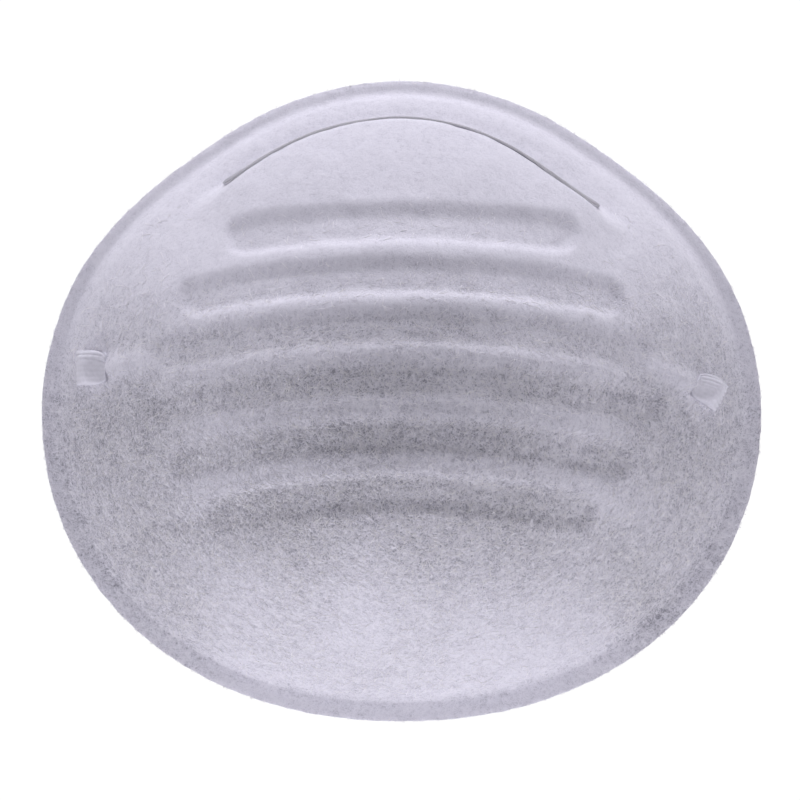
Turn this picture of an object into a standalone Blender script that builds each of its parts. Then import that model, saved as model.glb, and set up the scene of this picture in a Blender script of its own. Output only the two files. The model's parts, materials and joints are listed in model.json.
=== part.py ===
"""Disposable cup-shaped dust mask, upright as worn.

Frame, in metres: +Z up towards the nose, +X to the left side of the wearer, and the dome faces -Y.
The seal plane is y = 0 and the origin is the centre of the seal. The three layers of the cup share
one surface, the outer face of the cup, and are set in from it along its normal.
"""

from math import atan2, cos, pi, radians, sin, sqrt

import bmesh
import bpy
from mathutils import Matrix, Vector

MM = 0.001
GAP = 0.3 * MM                     # clearance between neighbouring pieces

# Outline of the seal: two half super-ellipses that meet on one horizontal line
HALF_WIDTH = 65.0 * MM
NOSE_HEIGHT = 59.45 * MM           # from that line up to the nose
CHIN_HEIGHT = 56.25 * MM           # from that line down to the chin
NOSE_POWER = 1.85
CHIN_POWER = 2.13
WAIST_Z = -1.6 * MM                # height of the line

# Dome
DOME_DEPTH = 42.0 * MM             # from the seal plane to the crown
DOME_POWER = 2.2                   # higher is a flatter crown and a steeper side
CROWN_DROP = 5.0 * MM              # crown below the line where the half outlines meet
RIM_WIDTH = 3.2 * MM               # flat band pressed round the edge
RIM_THICKNESS = 1.2 * MM

# Layers of the cup
OUTER_THICKNESS = 0.9 * MM
FILTER_THICKNESS = 0.6 * MM
INNER_THICKNESS = 0.8 * MM
LAYER_EDGE = 0.6 * MM              # the two inner layers stop this far inside the pressed band

# Stiffening channels pressed into the cup, from the nose down: distance of the middle below the
# seal's top edge or below the channel above it, margin from an end's centre to the edge of the
# seal at that height, and drop of an end
CHANNEL_RULES = (
    (26.2 * MM, 23.9 * MM, 2.3 * MM),
    (9.4 * MM, 21.7 * MM, 3.6 * MM),
    (9.0 * MM, 20.8 * MM, 4.9 * MM),
    (9.4 * MM, 21.6 * MM, 4.7 * MM),
    (9.8 * MM, 26.9 * MM, 4.5 * MM),
    (10.1 * MM, 32.3 * MM, 3.6 * MM),
)
CHANNEL_DEPTH = 1.3 * MM
CHANNEL_HALF_WIDTH = 4.0 * MM
CHANNEL_FLOOR_HALF = 1.7 * MM

# Ledge across the nose that the clip stands on
LEDGE_INSET = 7.2 * MM             # from the edge of the seal
LEDGE_SKEW = 1.4 * MM              # extra inset at the +X end, where the clip sits crooked
LEDGE_SKEW_ANGLE = radians(40)
LEDGE_HALF_STEP = 1.3 * MM         # half of the step, seen from the front
LEDGE_SINK = 1.4 * MM              # surface lowered outside the step
LEDGE_RISE = 1.7 * MM              # and raised inside it
LEDGE_FADE = 17.0 * MM             # length over which the raised part runs out
LEDGE_MIDDLE = radians(3)
LEDGE_FULL = radians(42)           # angle either side of the middle with the whole step
LEDGE_END = radians(60)            # angle at which the step has run out

# Nose clip
CLIP_WIDTH = 5.0 * MM
CLIP_THICKNESS = 0.5 * MM
CLIP_START = radians(-38.2)        # from the top of the outline, towards +X
CLIP_END = radians(44.2)
CLIP_END_TILT = 0.7 * MM           # front edge leans in by this at each end
CLIP_STEPS = 26

# Elastic strap
BAND_WIDTH = 6.35 * MM
BAND_THICKNESS = 0.9 * MM
LEFT_SLIT_INSET = 6.9 * MM         # from the edge of the seal at the slit's height
LEFT_SLIT_HEIGHT = 5.8 * MM
RIGHT_SLIT_INSET = 8.4 * MM
RIGHT_SLIT_HEIGHT = 0.6 * MM
LEFT_SLANT = 0.0
RIGHT_SLANT = radians(28)
WELD_LENGTH = 5.3 * MM             # welded end outside, seen from the front
WELD_STEPS = 3
SLIT_CUT_DEPTH = 12.0 * MM         # of the cutters, through all layers
STRAP_CLEARANCE = 1.5 * MM         # from the cup's inner face to the loop beside each slit
STRAP_DEPTH = 6.0 * MM             # hinge line in front of the seal plane
LOOP_CLEARANCE = 6.0 * MM          # from the loop's bottom forward to the cup's inner face
LOOP_POWER = 2.25
LOOP_STEPS = 40

# Mesh
SEARCH_STEP = 0.05 * MM            # when looking for a place on the inner face
COLUMNS = 14
ROWS_PER_CHANNEL = 4
EDGE_ROW_SHARE = 0.65              # of a channel's half width, past an end's centre
FLOOR_END_SHARE = 0.6              # of the floor's half width, where the floor's last column stands
RING_SHARES = (1 / 3, 2 / 3)
RING_INSETS = (3.4 * MM, LEDGE_HALF_STEP, -LEDGE_HALF_STEP)   # from the ledge's own inset

UP = Vector((0, 0, 1))


def smooth_step(low, high, value):
    share = min(max((value - low) / (high - low), 0.0), 1.0)
    return share * share * (3 - 2 * share)


def outline_radius(angle):
    """Distance from the outline's centre to its edge; angle runs from the top towards +X."""
    across = abs(sin(angle)) / HALF_WIDTH
    if cos(angle) >= 0:
        height, power = NOSE_HEIGHT, NOSE_POWER
    else:
        height, power = CHIN_HEIGHT, CHIN_POWER
    along = abs(cos(angle)) / height
    return (across ** power + along ** power) ** (-1 / power)


def half_width_at(z):
    height, power = (NOSE_HEIGHT, NOSE_POWER) if z >= WAIST_Z else (CHIN_HEIGHT, CHIN_POWER)
    return HALF_WIDTH * (1 - (abs(z - WAIST_Z) / height) ** power) ** (1 / power)


def lay_out_channels():
    """Middle height, distance to an end's centre and drop of an end, for each channel."""
    channels = []
    middle = WAIST_Z + NOSE_HEIGHT
    for pitch, margin, drop in CHANNEL_RULES:
        middle -= pitch
        channels.append((middle, half_width_at(middle) - margin, drop))
    return channels


CHANNELS = lay_out_channels()
LEFT_SLIT = (-(half_width_at(LEFT_SLIT_HEIGHT) - LEFT_SLIT_INSET), LEFT_SLIT_HEIGHT)
RIGHT_SLIT = (half_width_at(RIGHT_SLIT_HEIGHT) - RIGHT_SLIT_INSET, RIGHT_SLIT_HEIGHT)


def polar(x, z):
    """Angle from the top towards +X, and distance from the outline's centre."""
    return atan2(x, z - WAIST_Z), sqrt(x * x + (z - WAIST_Z) ** 2)


def at_radius(angle, radius):
    return radius * sin(angle), WAIST_Z + radius * cos(angle)


def smooth_height(x, z):
    """Height of the plain dome in front of the seal plane, without channels or ledge."""
    angle, distance = polar(x, z)
    share = distance / (outline_radius(angle) - RIM_WIDTH)
    if share >= 1:
        return RIM_THICKNESS
    drop = CROWN_DROP / (CHIN_HEIGHT - RIM_WIDTH)
    px = share * sin(angle)
    pz = share * cos(angle) + drop
    lean = -drop * pz
    spread = 1 - drop * drop
    ring = (lean + sqrt(lean * lean + spread * (px * px + pz * pz))) / spread
    return RIM_THICKNESS + (DOME_DEPTH - RIM_THICKNESS) * (1 - ring ** DOME_POWER)


def smooth_normal(x, z):
    step = 0.05 * MM
    slope_x = (smooth_height(x + step, z) - smooth_height(x - step, z)) / (2 * step)
    slope_z = (smooth_height(x, z + step) - smooth_height(x, z - step)) / (2 * step)
    return Vector((-slope_x, -1, -slope_z)).normalized()


def channel_depth(x, z):
    depth = 0.0
    for middle, reach, drop in CHANNELS:
        along = min(abs(x) / reach, 1.0)
        beyond = max(abs(x) - reach, 0.0)
        off_line = z - (middle - drop * along * along)
        distance = sqrt(beyond * beyond + off_line * off_line)
        wall = (CHANNEL_HALF_WIDTH - distance) / (CHANNEL_HALF_WIDTH - CHANNEL_FLOOR_HALF)
        depth = max(depth, CHANNEL_DEPTH * min(max(wall, 0.0), 1.0))
    return depth


def ledge_inset(angle):
    skew = smooth_step(0, LEDGE_SKEW_ANGLE, angle) - smooth_step(LEDGE_END, pi / 2, angle)
    return LEDGE_INSET + LEDGE_SKEW * skew


def ledge_lift(x, z):
    """Lift of the surface along its normal, from the step across the nose."""
    angle, distance = polar(x, z)
    strength = 1 - smooth_step(LEDGE_FULL, LEDGE_END, abs(angle - LEDGE_MIDDLE))
    inset = outline_radius(angle) - distance
    past = inset - ledge_inset(angle)
    if past < -LEDGE_HALF_STEP:
        ramp = ledge_inset(angle) - LEDGE_HALF_STEP - RIM_WIDTH
        lift = -LEDGE_SINK * min(max((inset - RIM_WIDTH) / ramp, 0.0), 1.0)
    elif past < LEDGE_HALF_STEP:
        share = (past + LEDGE_HALF_STEP) / (2 * LEDGE_HALF_STEP)
        lift = -LEDGE_SINK + share * (LEDGE_SINK + LEDGE_RISE)
    else:
        lift = LEDGE_RISE * (1 - smooth_step(0, LEDGE_FADE, past - LEDGE_HALF_STEP))
    return strength * lift


def cup_point(x, z, set_in=0.0):
    """Point on the cup over (x, z), set in from the outer face along the dome's normal."""
    lift = ledge_lift(x, z) - channel_depth(x, z) - set_in
    return Vector((x, -smooth_height(x, z), z)) + smooth_normal(x, z) * lift


def channel_row(row):
    """Middle height, end reach, drop, offset across the channel and length of one grid row."""
    middle, reach, drop = CHANNELS[row // ROWS_PER_CHANNEL]
    place = row % ROWS_PER_CHANNEL
    on_edge = place in (0, ROWS_PER_CHANNEL - 1)
    offset = CHANNEL_HALF_WIDTH if on_edge else CHANNEL_FLOOR_HALF
    if place >= ROWS_PER_CHANNEL // 2:
        offset = -offset
    length = reach + (EDGE_ROW_SHARE if on_edge else 1) * CHANNEL_HALF_WIDTH
    return middle, reach, drop, offset, length


def grid_place(column, row):
    """Place of one grid point, seen from the front: rows follow the channels' walls."""
    middle, reach, drop, offset, length = channel_row(row)
    inner = reach + FLOOR_END_SHARE * CHANNEL_FLOOR_HALF
    side = column - COLUMNS / 2
    if abs(side) == COLUMNS / 2:
        x = length if side > 0 else -length
    else:
        x = inner * side / (COLUMNS / 2 - 1)
    along = min(abs(x) / reach, 1.0)
    return x, middle + offset - drop * along * along


def spread_rings(mesh, edge_insets):
    """Carries the grid's border out to the seal's edge, one ring of faces after another."""
    border = [edge for edge in mesh.edges if edge.is_boundary]
    start = {vert: (vert.co.x, vert.co.z) for edge in border for vert in edge.verts}
    ledge_rings = len(RING_INSETS)
    for ring in range(len(RING_SHARES) + ledge_rings + len(edge_insets)):
        grown = bmesh.ops.extrude_edge_only(mesh, edges=border)["geom"]
        border = [item for item in grown if isinstance(item, bmesh.types.BMEdge) and item.is_boundary]
        new_verts = {vert for edge in border for vert in edge.verts}
        origin = {}
        for vert in new_verts:
            inner = next(edge.other_vert(vert) for edge in vert.link_edges
                         if edge.other_vert(vert) not in new_verts)
            origin[vert] = start[inner]
            angle, _ = polar(*origin[vert])
            edge_radius = outline_radius(angle)
            if ring < len(RING_SHARES):
                goal = at_radius(angle, edge_radius - ledge_inset(angle) - RING_INSETS[0])
                share = RING_SHARES[ring]
                x = origin[vert][0] + (goal[0] - origin[vert][0]) * share
                z = origin[vert][1] + (goal[1] - origin[vert][1]) * share
            elif ring < len(RING_SHARES) + ledge_rings:
                inset = ledge_inset(angle) + RING_INSETS[ring - len(RING_SHARES)]
                x, z = at_radius(angle, edge_radius - inset)
            else:
                inset = edge_insets[ring - len(RING_SHARES) - ledge_rings]
                x, z = at_radius(angle, edge_radius - inset)
            vert.co = (x, 0, z)
        start = origin


def sheet_mesh(name, set_in, thickness, edge_insets):
    """One closed layer of the cup: a grid with rings round it, doubled through its thickness."""
    mesh = bmesh.new()
    rows = ROWS_PER_CHANNEL * len(CHANNELS) - 1
    bmesh.ops.create_grid(mesh, x_segments=COLUMNS, y_segments=rows, size=1)
    for vert in mesh.verts:
        column = round((vert.co.x + 1) / 2 * COLUMNS)
        row = round((1 - vert.co.y) / 2 * rows)
        x, z = grid_place(column, row)
        vert.co = (x, 0, z)
    spread_rings(mesh, edge_insets)
    bmesh.ops.recalc_face_normals(mesh, faces=mesh.faces)
    if sum(face.normal.y for face in mesh.faces) > 0:
        bmesh.ops.reverse_faces(mesh, faces=mesh.faces)
    front = list(mesh.verts)
    doubled = bmesh.ops.extrude_face_region(mesh, geom=mesh.faces[:], use_keep_orig=True)["geom"]
    back = [item for item in doubled if isinstance(item, bmesh.types.BMVert)]
    for vert in front:
        vert.co = cup_point(vert.co.x, vert.co.z, set_in)
    for vert in back:
        angle, distance = polar(vert.co.x, vert.co.z)
        if outline_radius(angle) - distance <= RIM_WIDTH * 1.001:
            vert.co.y = 0
        else:
            vert.co = cup_point(vert.co.x, vert.co.z, set_in + thickness)
    bmesh.ops.recalc_face_normals(mesh, faces=mesh.faces)
    data = bpy.data.meshes.new(name)
    mesh.to_mesh(data)
    mesh.free()
    return data


def make_material(name, colour, roughness, metallic=0.0):
    material = bpy.data.materials.new(name)
    material.use_nodes = True
    shader = material.node_tree.nodes["Principled BSDF"]
    shader.inputs["Base Color"].default_value = (*colour, 1)
    shader.inputs["Roughness"].default_value = roughness
    shader.inputs["Metallic"].default_value = metallic
    return material


def add_object(name, data, collection, material):
    item = bpy.data.objects.new(name, data)
    collection.objects.link(item)
    data.materials.append(material)
    return item


def slit_frame(place, slant):
    """Middle of a slit on the outer face, and its directions: along the weld, across it, outwards."""
    side = 1 if place[0] > 0 else -1
    outwards = smooth_normal(*place)
    ahead = Vector((-side * cos(slant), 0, sin(slant)))
    along = (ahead - outwards * ahead.dot(outwards)).normalized()
    return cup_point(*place), along, outwards.cross(along), outwards


def add_slit_cutter(name, place, slant, collection):
    middle, along, across, outwards = slit_frame(place, slant)
    mesh = bmesh.new()
    bmesh.ops.create_cube(mesh, size=1)
    size = Matrix.Diagonal((BAND_THICKNESS + 2 * GAP, BAND_WIDTH + 2 * GAP, SLIT_CUT_DEPTH, 1))
    turn = Matrix((along, across, outwards)).transposed().to_4x4()
    bmesh.ops.transform(mesh, matrix=Matrix.Translation(middle) @ turn @ size, verts=mesh.verts)
    bmesh.ops.recalc_face_normals(mesh, faces=mesh.faces)
    data = bpy.data.meshes.new(name)
    mesh.to_mesh(data)
    mesh.free()
    cutter = bpy.data.objects.new(name, data)
    cutter.hide_render = True
    cutter.display_type = "WIRE"
    collection.objects.link(cutter)
    return cutter


def add_layer(name, set_in, thickness, edge_insets, material, collection, cutters):
    layer = add_object(name, sheet_mesh(name, set_in, thickness, edge_insets), collection, material)
    layer.data.shade_smooth()
    for cutter in cutters:
        cut = layer.modifiers.new(cutter.name, "BOOLEAN")
        cut.operation = "DIFFERENCE"
        cut.solver = "EXACT"
        cut.object = cutter
    return layer


def ribbon_mesh(name, path, across):
    """Open ribbon along a path; across gives, for each point, the vector from its middle to one edge."""
    mesh = bmesh.new()
    row = [mesh.verts.new(point - half) for point, half in zip(path, across)]
    edges = [mesh.edges.new(pair) for pair in zip(row, row[1:])]
    grown = bmesh.ops.extrude_edge_only(mesh, edges=edges)["geom"]
    far_side = [item for item in grown if isinstance(item, bmesh.types.BMVert)]
    for vert in far_side:
        index = min(range(len(row)), key=lambda i: (row[i].co - vert.co).length)
        vert.co = path[index] + across[index]
    bmesh.ops.recalc_face_normals(mesh, faces=mesh.faces)
    data = bpy.data.meshes.new(name)
    mesh.to_mesh(data)
    mesh.free()
    return data


def add_thickness(item, thickness):
    shell = item.modifiers.new("thickness", "SOLIDIFY")
    shell.thickness = thickness
    shell.offset = 0
    shell.use_even_offset = True


def ledge_edge_heights(angle):
    """Depths in front of the seal plane of the step's outer and inner corners."""
    heights = []
    for sign in (-1, 1):
        radius = outline_radius(angle) - ledge_inset(angle) - sign * LEDGE_HALF_STEP
        heights.append(-cup_point(*at_radius(angle, radius)).y)
    return heights


def ledge_edge_radius(angle):
    """Radius of the step's face, from its two corners as they lie after the lift."""
    furthest = 0.0
    for sign in (-1, 1):
        radius = outline_radius(angle) - ledge_inset(angle) - sign * LEDGE_HALF_STEP
        point = cup_point(*at_radius(angle, radius))
        furthest = max(furthest, polar(point.x, point.z)[1])
    return furthest


def add_nose_clip(collection, material):
    path = []
    across = []
    for step in range(CLIP_STEPS + 1):
        share = step / CLIP_STEPS
        angle = CLIP_START + (CLIP_END - CLIP_START) * share
        radius = ledge_edge_radius(angle) + GAP + CLIP_THICKNESS / 2
        x, z = at_radius(angle, radius)
        depth = sum(ledge_edge_heights(angle)) / 2
        lean = CLIP_END_TILT / 2 * (2 * share - 1) ** 2
        outwards = Vector((sin(angle), 0, cos(angle)))
        path.append(Vector((x, -depth, z)) + outwards * lean)
        across.append((Vector((0, -1, 0)) - outwards * lean / (CLIP_WIDTH / 2)) * CLIP_WIDTH / 2)
    clip = add_object("nose_clip", ribbon_mesh("nose_clip", path, across), collection, material)
    add_thickness(clip, CLIP_THICKNESS)
    return clip


def cup_thickness():
    return OUTER_THICKNESS + FILTER_THICKNESS + INNER_THICKNESS + 2 * GAP


def inner_face_at_depth(start, middle, depth):
    """First point on the cup's inner face, going from start to middle, at least so deep."""
    steps = int(sqrt((start[0] - middle[0]) ** 2 + (start[1] - middle[1]) ** 2) / SEARCH_STEP)
    for step in range(steps):
        share = step / steps
        x = start[0] + (middle[0] - start[0]) * share
        z = start[1] + (middle[1] - start[1]) * share
        point = cup_point(x, z, cup_thickness())
        if -point.y >= depth:
            break
    return point


def hinge_point(place):
    """Where the loop starts: just inside the inner face, beside a slit."""
    side = 1 if place[0] > 0 else -1
    wall = inner_face_at_depth(place, (0, place[1]), STRAP_DEPTH + BAND_WIDTH / 2)
    x = wall.x - side * (STRAP_CLEARANCE + BAND_THICKNESS / 2)
    return Vector((x, -STRAP_DEPTH, place[1]))


def loop_bottom():
    chin = (0, WAIST_Z - CHIN_HEIGHT + RIM_WIDTH)
    depth = STRAP_DEPTH + BAND_WIDTH / 2 + LOOP_CLEARANCE
    return inner_face_at_depth(chin, (0, WAIST_Z), depth).z


def add_strap_end(name, place, slant, collection, material):
    """Fixed end of the elastic: welded flat outside, then in through the slit to the hinge line."""
    side = 1 if place[0] > 0 else -1
    middle, _, across, outwards = slit_frame(place, slant)
    path = []
    for step in range(WELD_STEPS, -1, -1):
        ahead = WELD_LENGTH * step / WELD_STEPS
        x = place[0] - side * ahead * cos(slant)
        z = place[1] + ahead * sin(slant)
        path.append(cup_point(x, z, -GAP - BAND_THICKNESS / 2))
    path.append(middle - outwards * (cup_thickness() + 2 * GAP))
    reach = BAND_THICKNESS / 2 + GAP
    path.append(hinge_point(place) + Vector((side * reach, 0, 0)))
    half = across * (BAND_WIDTH / 2)
    square = Vector((0, across.y, across.z)).normalized() * (BAND_WIDTH / 2)
    halves = [half] * (len(path) - 1) + [square]
    item = add_object(name, ribbon_mesh(name, path, halves), collection, material)
    add_thickness(item, BAND_THICKNESS)
    return item


def add_head_strap(collection, material):
    """Loop of elastic that hangs inside the cup and swings about the line through both slits."""
    left = hinge_point(LEFT_SLIT)
    right = hinge_point(RIGHT_SLIT)
    middle = (left + right) / 2
    half_span = (right - left) / 2
    loop_drop = middle.z - loop_bottom()
    path = []
    for step in range(LOOP_STEPS + 1):
        angle = pi * step / LOOP_STEPS
        reach = abs(cos(angle)) ** (2 / LOOP_POWER)
        fall = abs(sin(angle)) ** (2 / LOOP_POWER)
        if angle < pi / 2:
            reach = -reach
        path.append(half_span * reach - UP * loop_drop * fall)
    holder = bpy.data.objects.new("strap_hinge", None)
    holder.location = middle
    collection.objects.link(holder)
    half = Vector((0, -BAND_WIDTH / 2, 0))
    strap = add_object("head_strap", ribbon_mesh("head_strap", path, [half] * len(path)), collection,
                       material)
    strap.parent = holder
    add_thickness(strap, BAND_THICKNESS)
    return strap


def clear_scene():
    for item in list(bpy.data.objects):
        bpy.data.objects.remove(item, do_unlink=True)


def main():
    clear_scene()
    mask = bpy.data.collections.new("dust_mask")
    cutters = bpy.data.collections.new("cutters")
    bpy.context.scene.collection.children.link(mask)
    bpy.context.scene.collection.children.link(cutters)

    web = make_material("outer_nonwoven", (0.80, 0.79, 0.83), 0.95)
    filter_cloth = make_material("filter_web", (0.88, 0.88, 0.90), 0.9)
    lining = make_material("inner_nonwoven", (0.84, 0.83, 0.86), 0.9)
    aluminium = make_material("aluminium", (0.66, 0.65, 0.68), 0.4, 1.0)
    elastic = make_material("elastic", (0.78, 0.77, 0.80), 0.85)

    slits = [
        add_slit_cutter("left_slit", LEFT_SLIT, LEFT_SLANT, cutters),
        add_slit_cutter("right_slit", RIGHT_SLIT, RIGHT_SLANT, cutters),
    ]
    layer_edge = [RIM_WIDTH + LAYER_EDGE]
    rim = layer_edge + [RIM_WIDTH, 0.0]
    filter_set_in = OUTER_THICKNESS + GAP
    inner_set_in = filter_set_in + FILTER_THICKNESS + GAP
    add_layer("outer_shell", 0.0, OUTER_THICKNESS, rim, web, mask, slits)
    add_layer("filter_web", filter_set_in, FILTER_THICKNESS, layer_edge, filter_cloth, mask, slits)
    add_layer("inner_shell", inner_set_in, INNER_THICKNESS, layer_edge, lining, mask, slits)
    add_nose_clip(mask, aluminium)
    add_strap_end("left_strap_end", LEFT_SLIT, LEFT_SLANT, mask, elastic)
    add_strap_end("right_strap_end", RIGHT_SLIT, RIGHT_SLANT, mask, elastic)
    add_head_strap(mask, elastic)


main()
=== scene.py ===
import json
import math
import random

import bmesh
import bpy
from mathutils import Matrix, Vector, noise


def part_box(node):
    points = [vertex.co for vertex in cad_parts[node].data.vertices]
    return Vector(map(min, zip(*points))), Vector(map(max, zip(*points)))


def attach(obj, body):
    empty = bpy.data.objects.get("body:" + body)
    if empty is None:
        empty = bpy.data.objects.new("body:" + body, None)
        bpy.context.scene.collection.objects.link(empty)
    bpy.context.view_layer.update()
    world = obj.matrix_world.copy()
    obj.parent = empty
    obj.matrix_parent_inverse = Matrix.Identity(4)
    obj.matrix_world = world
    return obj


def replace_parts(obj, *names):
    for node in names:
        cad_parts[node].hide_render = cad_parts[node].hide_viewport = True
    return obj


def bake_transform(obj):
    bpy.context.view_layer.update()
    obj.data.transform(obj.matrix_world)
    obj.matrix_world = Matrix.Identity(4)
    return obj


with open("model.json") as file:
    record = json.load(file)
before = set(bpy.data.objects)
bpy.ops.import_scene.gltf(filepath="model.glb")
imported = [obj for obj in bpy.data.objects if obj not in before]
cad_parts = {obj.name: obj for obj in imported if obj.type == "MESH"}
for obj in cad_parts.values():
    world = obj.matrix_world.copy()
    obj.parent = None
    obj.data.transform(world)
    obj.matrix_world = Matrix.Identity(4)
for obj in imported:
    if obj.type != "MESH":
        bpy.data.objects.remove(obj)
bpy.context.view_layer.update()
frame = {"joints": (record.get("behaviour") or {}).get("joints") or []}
mm = 0.001
cupLow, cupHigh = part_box("outer_shell")
print("frame loaded")


cup = {
    "waist": -1.6 * mm,            # height where the upper and lower half outlines meet
    "shoulders": (math.radians(39), math.radians(13), -0.013),      # angle, spread, share of radius
    "cheeks": (math.radians(68), math.radians(11), 0.008),
    "nosePower": 1.85,
    "chinPower": 2.13,
    "domePower": 2.2,              # higher is a flatter crown
    "crownDrop": 5.0 * mm,
    "rimWidth": 3.2 * mm,          # pressed flat band round the edge
    "rimLess": 1.8 * mm,           # how much narrower the band is over the nose
    "rimThickness": 1.2 * mm,
    "channelDepths": [k * mm for k in (1.1, 1.2, 0.85, 0.8, 0.85, 0.95)],
    "lobePuffs": [k * mm for k in (0, 0, 0, 0.85, 0.8, 0.6)],       # swelling in the right ends
    "lobeIn": 1.0 * mm,
    "lobeSize": 2.3 * mm,
    "lobeReach": 7 * mm,
    "waver": ((0.3 * mm, 0, 160), (0.2 * mm, 3, 420)),   # of the walls: size, slice, scale
    "channelHalf": 4.15 * mm,
    "floorHalf": 1.5 * mm,
    "ledgeInset": 7.2 * mm,        # step across the nose, in from the edge
    "ledgeSkew": 1.4 * mm,         # further in on the right
    "ledgeEnds": 0.6 * mm,         # further in towards both ends
    "ledgeMiddle": math.radians(3),
    "ledgeSpan": (math.radians(36), math.radians(52)),   # full height up to, gone beyond
    "ledgeHalfStep": 1.3 * mm,
    "ledgeSink": 1.4 * mm,
    "ledgeRise": 1.7 * mm,
    "ledgeFade": 17.0 * mm,
}
# channels from the nose down: height of the middle, reach to an end's centre, drop of the ends
channels = [
    (31.65 * mm, 28.0 * mm, 2.3 * mm),
    (22.25 * mm, 36.5 * mm, 3.6 * mm),
    (13.25 * mm, 41.5 * mm, 4.9 * mm),
    (3.85 * mm, 43.0 * mm, 4.7 * mm),
    (-5.95 * mm, 38.0 * mm, 4.5 * mm),
    (-16.05 * mm, 31.0 * mm, 3.6 * mm),
]
halfWidth = cupHigh.x
noseHeight = cupHigh.z - cup["waist"]
chinHeight = cup["waist"] - cupLow.z
domeDepth = -cupLow.y


def smoothStep(low, high, value):
    share = min(max((value - low) / (high - low), 0.0), 1.0)
    return share * share * (3 - 2 * share)


def outlineRadius(angle):
    across = abs(math.sin(angle)) / halfWidth
    if math.cos(angle) >= 0:
        height, power = noseHeight, cup["nosePower"]
    else:
        height, power = chinHeight, cup["chinPower"]
    radius = (across ** power + (abs(math.cos(angle)) / height) ** power) ** (-1 / power)
    bulge = 0.0
    for place, spread, share in (cup["shoulders"], cup["cheeks"]):
        bulge += share * math.exp(-((abs(angle) - place) / spread) ** 2)
    return radius * (1 + bulge)


def rimWidthAt(angle):
    return cup["rimWidth"] - cup["rimLess"] * smoothStep(-0.3, 0.7, math.cos(angle))


def polar(x, z):
    return math.atan2(x, z - cup["waist"]), math.hypot(x, z - cup["waist"])


def atRadius(angle, radius):
    return radius * math.sin(angle), cup["waist"] + radius * math.cos(angle)


def domeHeight(x, z):
    angle, distance = polar(x, z)
    share = distance / (outlineRadius(angle) - rimWidthAt(angle))
    if share >= 1:
        return cup["rimThickness"]
    drop = cup["crownDrop"] / (chinHeight - cup["rimWidth"])
    px, pz = share * math.sin(angle), share * math.cos(angle) + drop
    lean, spread = -drop * pz, 1 - drop * drop
    ring = (lean + math.sqrt(lean * lean + spread * (px * px + pz * pz))) / spread
    rise = domeDepth - cup["rimThickness"]
    return cup["rimThickness"] + rise * (1 - ring ** cup["domePower"])


def domeNormal(x, z):
    step = 0.3 * mm                # wide enough to round the fold at the pressed band
    slopeX = (domeHeight(x + step, z) - domeHeight(x - step, z)) / (2 * step)
    slopeZ = (domeHeight(x, z + step) - domeHeight(x, z - step)) / (2 * step)
    return Vector((-slopeX, -1, -slopeZ)).normalized()


def channelRelief(x, z):
    waver = sum(size * noise.noise(Vector((x, cut, z)) * scale)
                for size, cut, scale in cup["waver"])
    depth = 0.0
    for place, (middle, reach, drop) in enumerate(channels):
        along = min(abs(x) / reach, 1.0)
        beyond = max(abs(x) - reach, 0.0)
        offLine = z - (middle - drop * along * along)
        distance = math.hypot(beyond, offLine) + waver
        wall = smoothStep(cup["channelHalf"], cup["floorHalf"], distance)
        fromLobe = math.hypot(x - reach + cup["lobeIn"], offLine)
        puff = cup["lobePuffs"][place] * math.exp(-(fromLobe / cup["lobeSize"]) ** 2)
        sunk = cup["lobePuffs"][place] * math.exp(-(fromLobe / cup["lobeReach"]) ** 2)
        depth = max(depth, (cup["channelDepths"][place] + sunk) * wall - puff)
    return depth


def ledgeInset(angle):
    skew = smoothStep(0, math.radians(40), angle) - smoothStep(math.radians(60), math.pi / 2, angle)
    ends = smoothStep(math.radians(12), math.radians(38), abs(angle))
    return cup["ledgeInset"] + cup["ledgeSkew"] * skew + cup["ledgeEnds"] * ends


def ledgeLift(x, z):
    angle, distance = polar(x, z)
    strength = 1 - smoothStep(*cup["ledgeSpan"], abs(angle - cup["ledgeMiddle"]))
    if strength <= 0:
        return 0.0
    inset = outlineRadius(angle) - distance
    half = cup["ledgeHalfStep"]
    past = inset - ledgeInset(angle)
    if past < -half:
        ramp = ledgeInset(angle) - half - cup["rimWidth"]
        lift = -cup["ledgeSink"] * min(max((inset - cup["rimWidth"]) / ramp, 0.0), 1.0)
    elif past < half:
        share = (past + half) / (2 * half)
        lift = -cup["ledgeSink"] + share * (cup["ledgeSink"] + cup["ledgeRise"])
    else:
        lift = cup["ledgeRise"] * (1 - smoothStep(0, cup["ledgeFade"], past - half))
    return strength * lift


strapEnds = {
    "leftSlit": (-57.3 * mm, 5.8 * mm),
    "rightSlit": (56.5 * mm, 0.6 * mm),
    "leftSlant": 0.0,
    "rightSlant": math.radians(28),
    "width": 6.35 * mm,
    "thickness": 0.8 * mm,
    "padLength": 5.4 * mm,         # seen from the front
    "padHeight": 2.1 * mm,         # of the puffed weld above the cup
    "sunkTip": 0.46 * mm,          # how far the weld presses its tip and sides into the cup
    "sunkSides": 0.28 * mm,
    "overlap": 0.3 * mm,           # how far the end and the loop run into each other
    "wallDepths": (1.2 * mm, 3.4 * mm),                  # places on the way through the wall
    "ridgeHalf": 2.5 * mm,         # ridge that the strap's pull raises in the cup
    "ridgeHeight": 0.7 * mm,
    "ridgeNear": (0.55 * mm, 6.5 * mm, 3.0 * mm),        # extra height, place and spread
    "moundHeight": 0.75 * mm,
    "moundPlace": 2.6 * mm,
    "moundSize": (3.6 * mm, 3.8 * mm),
    "widthSteps": 56,
    "ribs": 7,
    "ribHeight": 0.17 * mm,
}


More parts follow.
